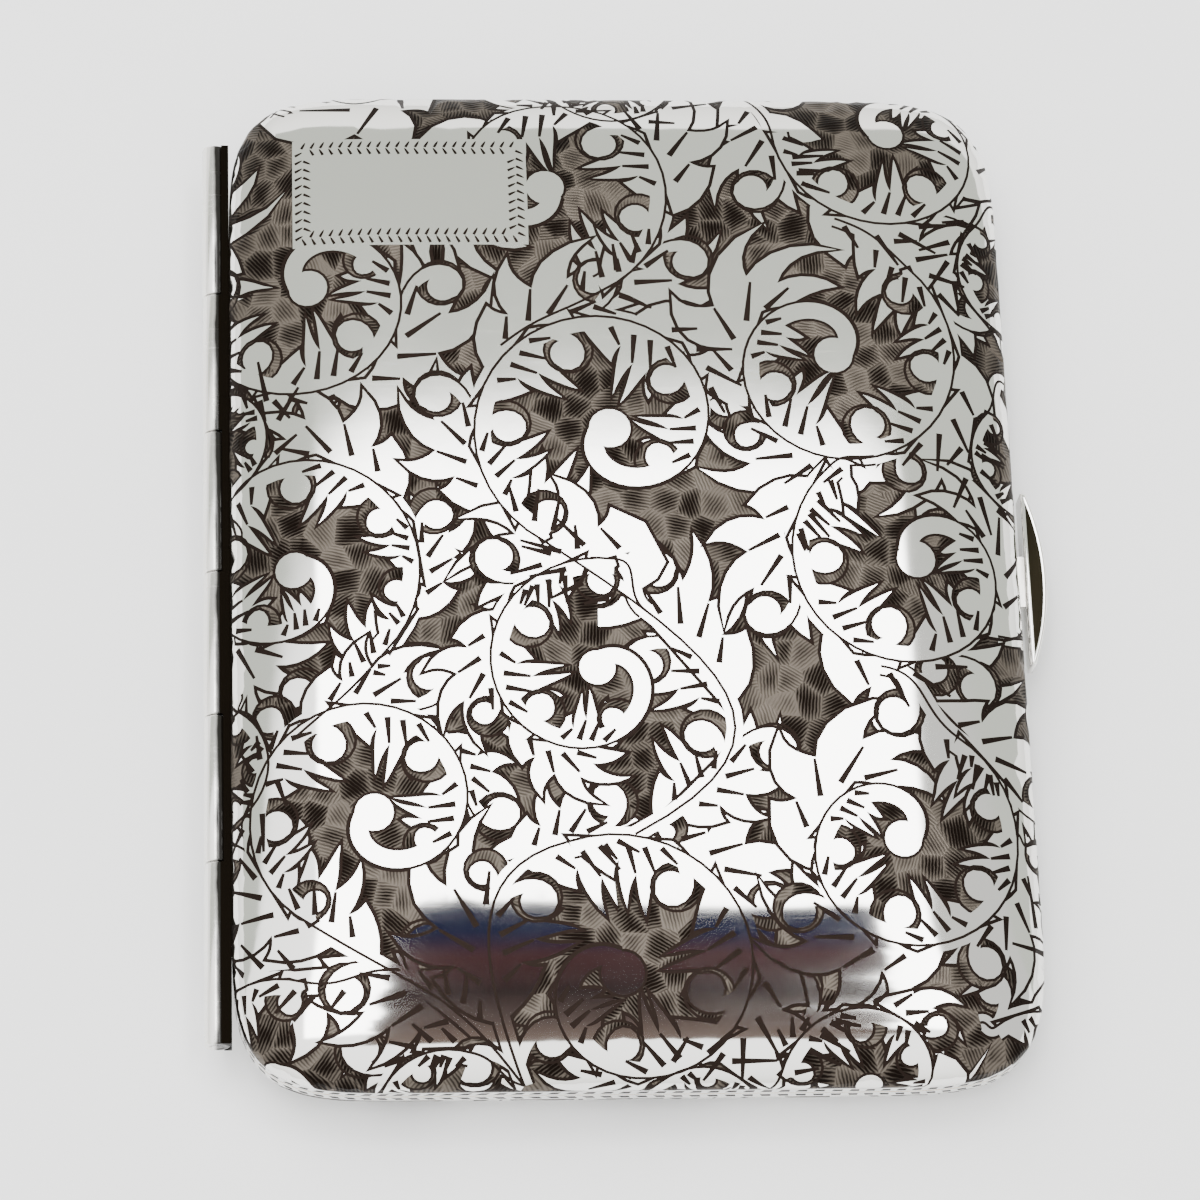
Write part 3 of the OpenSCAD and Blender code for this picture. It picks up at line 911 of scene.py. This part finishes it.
def strap_band(name):
    """A ribbed elastic band with thickness, and its length along the middle."""
    path = np.array(strap_path())
    along = np.concatenate([[0], np.cumsum(np.hypot(*np.diff(path, axis=0).T))])
    slope = np.gradient(path, along, axis=0)
    slope /= np.linalg.norm(slope, axis=1)[:, None]
    across, ribs, rib, thick = 60, 10, 0.045, 0.40
    bm = bmesh.new()
    uv = bm.loops.layers.uv.new("weave")
    bmesh.ops.create_grid(bm, x_segments=across, y_segments=len(path) - 1, size=0.5)
    for vert in bm.verts:
        share = vert.co.x + 0.5
        k = round((vert.co.y + 0.5) * (len(path) - 1))
        y, z = path[k]
        dy, dz = slope[k]
        edge = min(share, 1 - share) * STRAP_W
        lift = rib * math.cos(2 * math.pi * ribs * share) * min(1, edge / 0.4)
        vert.co = (STRAP_W * (share - 0.5), y - dz * lift, z + dy * lift)
        vert.index = k
    for face in bm.faces:
        for loop in face.loops:
            loop[uv].uv = (loop.vert.co.x, along[loop.vert.index])
    bmesh.ops.recalc_face_normals(bm, faces=bm.faces)
    bmesh.ops.solidify(bm, geom=bm.faces, thickness=thick)
    mesh = finished(bm, name)
    heights = np.empty(len(mesh.vertices) * 3)
    mesh.vertices.foreach_get("co", heights)
    run = heights.reshape(-1, 3)
    flat = np.abs(run[:, 1]) < 0.03
    run[:, 2] -= (run[flat, 2].max() + run[flat, 2].min()) / 2 - (BAR_Z + BAND_TURN) * MM
    mesh.vertices.foreach_set("co", run.ravel())
    return mesh, float(along[-1])


def strap_stitches(name):
    """Short thread stitches across the strap beside each loop."""
    bm = bmesh.new()
    count = 9
    top = STRAP_HIGH[2] - 0.05
    for end in (-1, 1):
        for row in (1.5, 2.3):
            for i in range(count):
                x = STRAP_W * ((i + 0.5) / count - 0.5) * 0.92
                made = bmesh.ops.create_uvsphere(bm, u_segments=8, v_segments=5, radius=0.5)["verts"]
                bmesh.ops.scale(bm, vec=(0.62, 0.17, 0.12), verts=made)
                bmesh.ops.translate(bm, vec=(x, end * (BAR_Y - row), top), verts=made)
    return finished(bm, name)


# ---------------------------------------------------------------- objects

def add(name, mesh, materials, body, replaces=()):
    piece = bpy.data.objects.new(name, mesh)
    bpy.context.scene.collection.objects.link(piece)
    for material in materials:
        mesh.materials.append(material)
    if body:
        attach(piece, body)
    if replaces:
        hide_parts(*replaces)
    return piece


def new_material(name):
    """A material with its node tree and its shader."""
    material = bpy.data.materials.new(name)
    material.use_nodes = True
    return material, material.node_tree, material.node_tree.nodes["Principled BSDF"]


def node_group(name, inputs, outputs):
    """An empty shader group with named sockets. Each input is (name, type, default)."""
    group = bpy.data.node_groups.new(name, "ShaderNodeTree")
    for label, kind, default in inputs:
        socket = group.interface.new_socket(label, in_out="INPUT", socket_type=kind)
        socket.default_value = default
    for label, kind in outputs:
        group.interface.new_socket(label, in_out="OUTPUT", socket_type=kind)
    nodes = group.nodes
    return group, nodes.new("NodeGroupInput"), nodes.new("NodeGroupOutput")


def linked(tree, kind, values=None, **links):
    """A node with settings, default inputs and links, where a link is an output socket."""
    node = tree.nodes.new(kind)
    for key, value in (values or {}).items():
        if hasattr(node, key):
            setattr(node, key, value)
        else:
            node.inputs[key].default_value = value
    for key, socket in links.items():
        tree.links.new(socket, node.inputs[key.replace("_", " ")])
    return node


def maths(tree, operation, a, b=0.0, c=0.0):
    node = tree.nodes.new("ShaderNodeMath")
    node.operation = operation
    for i, value in enumerate((a, b, c)):
        if hasattr(value, "is_output"):
            tree.links.new(value, node.inputs[i])
        else:
            node.inputs[i].default_value = value
    return node.outputs[0]


def mixed(tree, amount, first, second):
    """Two colours mixed by an amount. Each is a plain colour or an output socket."""
    node = tree.nodes.new("ShaderNodeMix")
    node.data_type = "RGBA"
    tree.links.new(amount, node.inputs[0])
    for k, colour in ((6, first), (7, second)):
        if hasattr(colour, "is_output"):
            tree.links.new(colour, node.inputs[k])
        else:
            node.inputs[k].default_value = (*colour, 1)
    return node.outputs[2]


def split(tree, vector):
    """The x, y and z of a vector socket."""
    return linked(tree, "ShaderNodeSeparateXYZ", Vector=vector).outputs


def noise(tree, scale, detail, place):
    return linked(tree, "ShaderNodeTexNoise", {"Scale": scale, "Detail": detail}, Vector=place).outputs[0]


def metal_wear_group():
    """Fine scratches and a soft cloud of tarnish for handled metal."""
    group, given, made = node_group(
        "Metal wear",
        [("Colour", "NodeSocketColor", (0.9, 0.9, 0.9, 1)), ("Tarnish", "NodeSocketFloat", 0.1),
         ("Roughness", "NodeSocketFloat", 0.12), ("Scratches", "NodeSocketFloat", 0.2)],
        [("Colour", "NodeSocketColor"), ("Roughness", "NodeSocketFloat"), ("Normal", "NodeSocketVector")],
    )
    place = group.nodes.new("ShaderNodeTexCoord").outputs["Object"]
    cloud, fine = noise(group, 90.0, 5.0, place), noise(group, 700.0, 3.0, place)
    along = linked(group, "ShaderNodeMapping", {"Rotation": (0.2, 0.1, 0.9), "Scale": (160, 2600, 900)},
                   Vector=place).outputs[0]
    lines = noise(group, 1.0, 2.0, along)
    scratch = maths(group, "MULTIPLY", maths(group, "SUBTRACT", lines, 0.58), 6.0)
    scratch = maths(group, "MAXIMUM", maths(group, "SMOOTH_MIN", scratch, 1.0, 0.2), 0.0)
    scratch = maths(group, "MULTIPLY", scratch, given.outputs["Scratches"])
    dull = maths(group, "MULTIPLY", maths(group, "SUBTRACT", cloud, 0.35), 2.0)
    dull = maths(group, "MAXIMUM", maths(group, "MULTIPLY", dull, given.outputs["Tarnish"]), 0.0)
    group.links.new(mixed(group, dull, given.outputs["Colour"], (0.42, 0.34, 0.25)), made.inputs["Colour"])
    rough = maths(group, "ADD", given.outputs["Roughness"], maths(group, "MULTIPLY", dull, 0.5))
    rough = maths(group, "ADD", rough, maths(group, "MULTIPLY", scratch, 0.25))
    group.links.new(rough, made.inputs["Roughness"])
    height = maths(group, "MULTIPLY_ADD", scratch, 0.5, maths(group, "MULTIPLY", fine, 0.25))
    bump = linked(group, "ShaderNodeBump", {"Strength": 0.12, "Distance": 0.00002}, Height=height)
    group.links.new(bump.outputs[0], made.inputs["Normal"])
    return group


def metal(name, colour, roughness, tarnish, scratches, wear):
    material, tree, shader = new_material(name)
    group = tree.nodes.new("ShaderNodeGroup")
    group.node_tree = wear
    settings = {"Colour": (*colour, 1), "Tarnish": tarnish, "Roughness": roughness, "Scratches": scratches}
    for label, value in settings.items():
        group.inputs[label].default_value = value
    tree.links.new(group.outputs["Colour"], shader.inputs["Base Color"])
    tree.links.new(group.outputs["Roughness"], shader.inputs["Roughness"])
    tree.links.new(group.outputs["Normal"], shader.inputs["Normal"])
    shader.inputs["Metallic"].default_value = 1.0
    return material


def shaded_barrel(name, colour, wear):
    """Silver, bright on the side away from the shell and painted near-black as shade on the side that faces
    the shell, in the recess while the case is shut.
    """
    material = metal(name, colour, 0.16, 0.25, 0.5, wear)
    tree = material.node_tree
    shader = tree.nodes["Principled BSDF"]
    unshaded_colour = shader.inputs["Base Color"].links[0].from_socket
    place = tree.nodes.new("ShaderNodeTexCoord").outputs["Object"]
    # Painted shade: a soft mask across the barrel's own x turns the side towards the shell near-black and
    # less metallic
    patchy = maths(tree, "SUBTRACT", noise(tree, 260.0, 4.0, place), 0.5)
    edge = maths(tree, "MULTIPLY_ADD", patchy, 0.0005, split(tree, place)[0])
    painted_shade = soft_step(tree, edge, (AXIS_X - 0.35) * MM, (AXIS_X + 0.15) * MM)
    tree.links.new(mixed(tree, painted_shade, unshaded_colour, (0.005, 0.004, 0.003)), shader.inputs["Base Color"])
    tree.links.new(maths(tree, "MULTIPLY_ADD", painted_shade, -0.8, 1.0), shader.inputs["Metallic"])
    return material


def waves(tree, value, pitch, shift=0.0):
    """Waves along a value, each a pitch long in metres."""
    return maths(tree, "SINE", maths(tree, "MULTIPLY_ADD", value, 2 * math.pi / pitch, shift))


def woven(name, colour):
    """Ribbed weaving: weft ridges across the band, and a thread colour mottled at random and darker in the
    weave's grooves as painted shade.
    """
    material, tree, shader = new_material(name)
    place = tree.nodes.new("ShaderNodeTexCoord").outputs["Object"]
    x, y, _ = split(tree, place)
    weft, warp = waves(tree, y, 0.00042), waves(tree, x, 0.0005)
    ridge = maths(tree, "MULTIPLY_ADD", weft, 0.25, 0.5)
    thread = maths(tree, "MULTIPLY_ADD", maths(tree, "MULTIPLY", weft, warp), 0.25, ridge)
    speckle = noise(tree, 2600.0, 3.0, place)
    dark, pale = [0.45 * c for c in colour], [min(1.25 * c, 1) for c in colour]
    # Painted shade: the colour follows the weave's height, darker in the grooves between ridges, with a
    # random mottle on top
    colour = mixed(tree, maths(tree, "MULTIPLY", thread, speckle), dark, pale)
    tree.links.new(colour, shader.inputs["Base Color"])
    bump = linked(tree, "ShaderNodeBump", {"Strength": 0.6, "Distance": 0.00006},
                  Height=maths(tree, "ADD", thread, speckle))
    tree.links.new(bump.outputs[0], shader.inputs["Normal"])
    shader.inputs["Roughness"].default_value = 0.8
    shader.inputs["Sheen Weight"].default_value = 0.3
    return material


def chiselled(name, dark, pale):
    """The darkened ground: each cell has its own tone and its own run of fine chisel lines."""
    material, tree, shader = new_material(name)
    place = tree.nodes.new("ShaderNodeTexCoord").outputs["Object"]
    cut = linked(tree, "ShaderNodeAttribute", {"attribute_name": "cut"})
    parts = linked(tree, "ShaderNodeSeparateColor", Color=cut.outputs["Color"])
    level, ridge, turn = parts.outputs
    angle = maths(tree, "MULTIPLY", turn, math.pi)
    x, y, _ = split(tree, place)
    across = maths(tree, "ADD", maths(tree, "MULTIPLY", x, maths(tree, "COSINE", angle)),
                   maths(tree, "MULTIPLY", y, maths(tree, "SINE", angle)))
    wander = maths(tree, "MULTIPLY", noise(tree, 1500.0, 3.0, place), 4.0)
    hatch = maths(tree, "MULTIPLY_ADD", waves(tree, across, 0.00030, wander), 0.5, 0.5)
    tone = maths(tree, "MULTIPLY", maths(tree, "MULTIPLY", level, level), 0.6)
    tone = maths(tree, "MULTIPLY_ADD", maths(tree, "POWER", ridge, 3.0), 0.5, tone)
    tone = maths(tree, "MULTIPLY_ADD", maths(tree, "SUBTRACT", hatch, 0.5), 0.4, tone)
    tone = maths(tree, "MULTIPLY_ADD", tone, 1.5, -0.22)
    tone = maths(tree, "MINIMUM", maths(tree, "MAXIMUM", tone, 0.0), 1.0)
    tree.links.new(mixed(tree, tone, dark, pale), shader.inputs["Base Color"])
    bump = linked(tree, "ShaderNodeBump", {"Strength": 0.5, "Distance": 0.00004}, Height=hatch)
    tree.links.new(bump.outputs[0], shader.inputs["Normal"])
    shader.inputs["Metallic"].default_value = 1.0
    shader.inputs["Roughness"].default_value = 0.5
    return material


FINISH = {}


def make_finishes(colours):
    """Every finish, from its colour, roughness, tarnish and scratches."""
    wear = metal_wear_group()
    for key, name, colour, *settings in (
        ("silver", "Polished silver", colours.silver, 0.05, 0.05, 0.05),
        ("line", "Oxidised cut", (0.016, 0.011, 0.009), 0.5, 0.0, 0.2),
        ("gilt", "Gilding", colours.gilt, 0.2, 0.12, 0.6),
        ("worn silver", "Handled silver", colours.silver, 0.2, 0.3, 0.8),
        ("steel", "Nickel silver", colours.steel, 0.28, 0.15, 0.8),
        ("bright", "Rubbed edge", colours.silver, 0.12, 0.10, 0.3),
        # The dull finish is near-black: the thumb piece's flat, painted as a dark reflection
        ("dull", "Tarnished flat", (0.012, 0.010, 0.006), 0.42, 0.0, 0.2),
        # The recess finish is near-black: painted shade for the bearers in the recess beside the barrels
        ("recess", "Tarnished recess", (0.004, 0.003, 0.002), 0.5, 0.0, 0.2),
    ):
        FINISH[key] = metal(name, colour, *settings, wear)
    FINISH["ground"] = chiselled("Chiselled ground", colours.ground_dark, colours.ground_pale)
    FINISH["barrel"] = shaded_barrel("Hinge barrel", colours.silver, wear)
    FINISH["elastic"] = woven("Woven elastic", colours.elastic)
    FINISH["thread"] = woven("Sewing thread", [0.8 * c for c in colours.elastic])


# ---------------------------------------------------------------- operators

def add_shell(art, rng, sizes, body, flip):
    """The engraved outside and the gilt lining of one shell."""
    metals = [FINISH[k] for k in ("silver", "ground", "line", "gilt")]
    name = f"engraved_{body}"
    add(name, engraved_shell(name, art, rng, sizes, flip), metals, body, [f"{body}_shell"])
    name = f"{body}_lining"
    add(name, lining(name, sizes, flip), metals, body)


class BuildPiece(bpy.types.Operator):
    """Shared parts of the operators that build pieces."""

    bl_idname = "card_case.piece"
    bl_label = "Piece"

    def execute(self, context):
        self.build(context.scene.card_case_engraving)
        return {"FINISHED"}


class CARDCASE_OT_front(BuildPiece):
    """Engrave the front shell"""

    bl_idname = "card_case.front"
    bl_label = "Engraved front"

    def build(self, sizes):
        rng = random.Random(sizes.seed)
        art = Ornament(sizes, EDGE_RUN)
        draw_vines(art, rng, FRONT_VINES)
        panel(art, (-28.7, 33.6), (-10.4, 41.4))
        milled_rim(art, sizes)
        add_shell(art, rng, sizes, "front", False)


class CARDCASE_OT_back(BuildPiece):
    """Engrave the back shell"""

    bl_idname = "card_case.back"
    bl_label = "Engraved back"

    def build(self, sizes):
        rng = random.Random(sizes.seed + 4)
        art = Ornament(sizes, EDGE_RUN)
        draw_vines(art, rng, [(-x, -y, r, start + 180, sweep, -fx, -fy, heading + 180, *bow)
                              for x, y, r, start, sweep, fx, fy, heading, *bow in FRONT_VINES])
        milled_rim(art, sizes)
        add_shell(art, rng, sizes, "back", True)


class CARDCASE_OT_hinge(BuildPiece):
    """Turn the knuckles of the hinge"""

    bl_idname = "card_case.hinge"
    bl_label = "Hinge"

    def build(self, sizes):
        for node in KNUCKLES:
            name = node.replace("knuckle", "barrel")
            add(name, barrel(name, node), [FINISH["barrel"]], node.split("_")[0], [node])


class CARDCASE_OT_catch(BuildPiece):
    """Make the thumb piece and the spring that it bends"""

    bl_idname = "card_case.catch"
    bl_label = "Catch"

    def build(self, sizes):
        # The second finish is the near-black flat, a painted dark reflection
        metals = [FINISH["bright"], FINISH["dull"]]
        add("thumb_press", thumb_press("thumb_press"), metals, "thumb", ["thumb_piece"])
        mesh, fixed, free = leaf_spring("leaf_spring")
        spring = add("leaf_spring", mesh, [FINISH["steel"]], None, ["catch_spring"])
        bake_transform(spring)


class CARDCASE_OT_strap(BuildPiece):
    """Weave the elastic strap and sew its loops"""

    bl_idname = "card_case.strap"
    bl_label = "Strap"

    def build(self, sizes):
        mesh, length = strap_band("woven_strap")
        strap = add("woven_strap", mesh, [FINISH["elastic"]], "back", ["elastic_strap"])
        stitches = strap_stitches("strap_stitches")
        sewing = add("strap_stitches", stitches, [FINISH["thread"]], "back")


class CARDCASE_OT_finishes(BuildPiece):
    """Give the frame's own nodes their metals"""

    bl_idname = "card_case.finishes"
    bl_label = "Finishes of the small parts"

    def build(self, sizes):
        metals = {"silver": "worn silver", "gilt": "gilt", "elastic": "elastic", "steel": "steel"}
        slots = {part["node"]: part["material_slot"] for part in frame["record"]["subparts"]}
        # The bearers take the recess finish, painted shade; the pin plugs take the barrel's painted shade
        special = {"front_bearer": "recess", "back_bearer": "recess",
                   "pin_plug_top": "barrel", "pin_plug_bottom": "barrel"}
        for node, obj in frame["nodes"].items():
            for slot_item in obj.material_slots:
                slot_item.material = FINISH[special.get(node, metals[slots[node]])]


def soft_step(tree, value, low, high):
    """0 under low, 1 over high, and smooth between them."""
    node = tree.nodes.new("ShaderNodeMapRange")
    node.interpolation_type = "SMOOTHSTEP"
    tree.links.new(value, node.inputs["Value"])
    node.inputs["From Min"].default_value = low
    node.inputs["From Max"].default_value = high
    return node.outputs[0]


def window(tree, x, y, centre, half, soft):
    """A soft-edged rectangle on the ceiling, where x and y are slopes from the vertical."""
    inside = 1.0
    for value, middle, reach in ((x, centre[0], half[0]), (y, centre[1], half[1])):
        away = maths(tree, "ABSOLUTE", maths(tree, "SUBTRACT", value, middle))
        inside = maths(tree, "MULTIPLY", soft_step(tree, away, reach + soft, reach - soft), inside)
    return inside


def studio_world():
    """A pale room with a bright ceiling window and a dark shape beside it."""
    world = bpy.data.worlds.new("Studio")
    bpy.context.scene.world = world
    world.use_nodes = True
    tree = world.node_tree
    back = tree.nodes["Background"]
    aim = tree.nodes.new("ShaderNodeTexCoord").outputs["Generated"]
    x, y, z = split(tree, aim)
    up = maths(tree, "MAXIMUM", z, 0.02)
    slope_x, slope_y = maths(tree, "DIVIDE", x, up), maths(tree, "DIVIDE", y, up)
    room = tree.nodes.new("ShaderNodeValToRGB")
    tree.links.new(z, room.inputs[0])
    stops = room.color_ramp.elements
    stops[0].position, stops[0].color = 0.0, (0.62, 0.62, 0.60, 1)
    stops[1].position, stops[1].color = 0.95, (1.0, 1.0, 1.0, 1)
    stops.new(0.45).color = (0.80, 0.80, 0.78, 1)
    wobble = maths(tree, "MULTIPLY", maths(tree, "SUBTRACT", noise(tree, 12.0, 2.0, aim), 0.5), 0.09)
    wavy_x, wavy_y = maths(tree, "ADD", slope_x, wobble), maths(tree, "ADD", slope_y, wobble)
    grey = window(tree, slope_x, slope_y, (0.3, 1.05), (3.0, 0.62), 0.03)
    side = window(tree, slope_x, slope_y, (1.2, 0.5), (0.85, 1.2), 0.06)
    bright = window(tree, slope_x, slope_y, (0.02, 0.10), (0.34, 0.34), 0.02)
    dark = window(tree, wavy_x, wavy_y, (0.075, -0.04), (0.10, 0.31), 0.006)
    cloth = tree.nodes.new("ShaderNodeValToRGB")
    tree.links.new(maths(tree, "MULTIPLY_ADD", slope_y, 0.5, 0.5), cloth.inputs[0])
    folds = cloth.color_ramp.elements
    folds[0].position, folds[0].color = 0.30, (0.10, 0.075, 0.062, 1)
    folds[1].position, folds[1].color = 0.66, (0.003, 0.004, 0.014, 1)
    for place, tone in ((0.41, (0.042, 0.030, 0.027, 1)), (0.49, (0.012, 0.007, 0.007, 1)),
                        (0.56, (0.024, 0.009, 0.010, 1)), (0.60, (0.004, 0.005, 0.018, 1))):
        folds.new(place).color = tone
    colour = room.outputs[0]
    for amount, tint in ((side, (0.34, 0.34, 0.33)), (grey, (0.31, 0.325, 0.295)), (bright, (3.6, 3.6, 3.6)),
                         (dark, cloth.outputs[0])):
        colour = mixed(tree, amount, colour, tint)
    tree.links.new(colour, back.inputs[0])
    back.inputs[1].default_value = 2.8


def in_scene(name, data):
    """A new object of this data, linked to the scene."""
    made = bpy.data.objects.new(name, data)
    bpy.context.scene.collection.objects.link(made)
    return made


class CARDCASE_OT_stage(BuildPiece):
    """Set the floor, the light and the camera"""

    bl_idname = "card_case.stage"
    bl_label = "Stage"

    def build(self, sizes):
        bm = bmesh.new()
        bmesh.ops.create_grid(bm, x_segments=1, y_segments=1, size=1.5)
        mesh = as_mesh(bm, "floor")
        floor = in_scene("floor", mesh)
        floor.location.z = CAD_BOX[0][2]
        material, _, shader = new_material("Pale floor")
        shader.inputs["Base Color"].default_value = (0.88, 0.88, 0.885, 1)
        shader.inputs["Roughness"].default_value = 0.6
        mesh.materials.append(material)
        studio_world()
        light = bpy.data.lights.new("overhead", "AREA")
        light.energy = 4.0
        light.size = 0.5
        lamp = in_scene("overhead", light)
        lamp.visible_glossy = False
        lamp.location = (-0.25, 0.35, 0.6)
        lamp.rotation_euler = (Vector((0, 0, 0)) - lamp.location).to_track_quat("-Z", "Y").to_euler()
        eye = Vector((-0.03843, -0.16331, 0.41861))
        right = Vector((0.99671, -0.03202, 0.07442))
        up = Vector((0.00269, 0.93113, 0.36468))
        camera = bpy.data.cameras.new("camera")
        camera.lens = 36 * 4812 / 1200
        camera.sensor_width = 36
        camera.clip_start = 0.01
        holder = in_scene("camera", camera)
        turn = Matrix((right, up, right.cross(up))).transposed().to_4x4()
        holder.matrix_world = Matrix.Translation(eye) @ turn
        bpy.context.scene.camera = holder


class CARDCASE_PT_panel(bpy.types.Panel):
    """The case's sizes, colours and build steps"""

    bl_label = "Card case"
    bl_idname = "CARDCASE_PT_panel"
    bl_space_type = "VIEW_3D"
    bl_region_type = "UI"
    bl_category = "Card case"

    def draw(self, context):
        for settings in (context.scene.card_case_engraving, context.scene.card_case_colours):
            box = self.layout.box()
            for name in settings.__annotations__:
                box.prop(settings, name)
        for step in STEPS:
            self.layout.operator(step.bl_idname)


STEPS = (CARDCASE_OT_stage, CARDCASE_OT_front, CARDCASE_OT_back, CARDCASE_OT_hinge, CARDCASE_OT_catch,
         CARDCASE_OT_strap, CARDCASE_OT_finishes)
CLASSES = (EngravingSizes, FinishColours, *STEPS, CARDCASE_PT_panel)


def register():
    for cls in CLASSES:
        bpy.utils.register_class(cls)
    bpy.types.Scene.card_case_engraving = PointerProperty(type=EngravingSizes)
    bpy.types.Scene.card_case_colours = PointerProperty(type=FinishColours)


def unregister():
    del bpy.types.Scene.card_case_colours
    del bpy.types.Scene.card_case_engraving
    for cls in reversed(CLASSES):
        bpy.utils.unregister_class(cls)


def main():
    register()
    make_finishes(bpy.context.scene.card_case_colours)
    for step in STEPS:
        group, name = step.bl_idname.split(".")
        getattr(getattr(bpy.ops, group), name)()


if __name__ == "__main__":
    main()
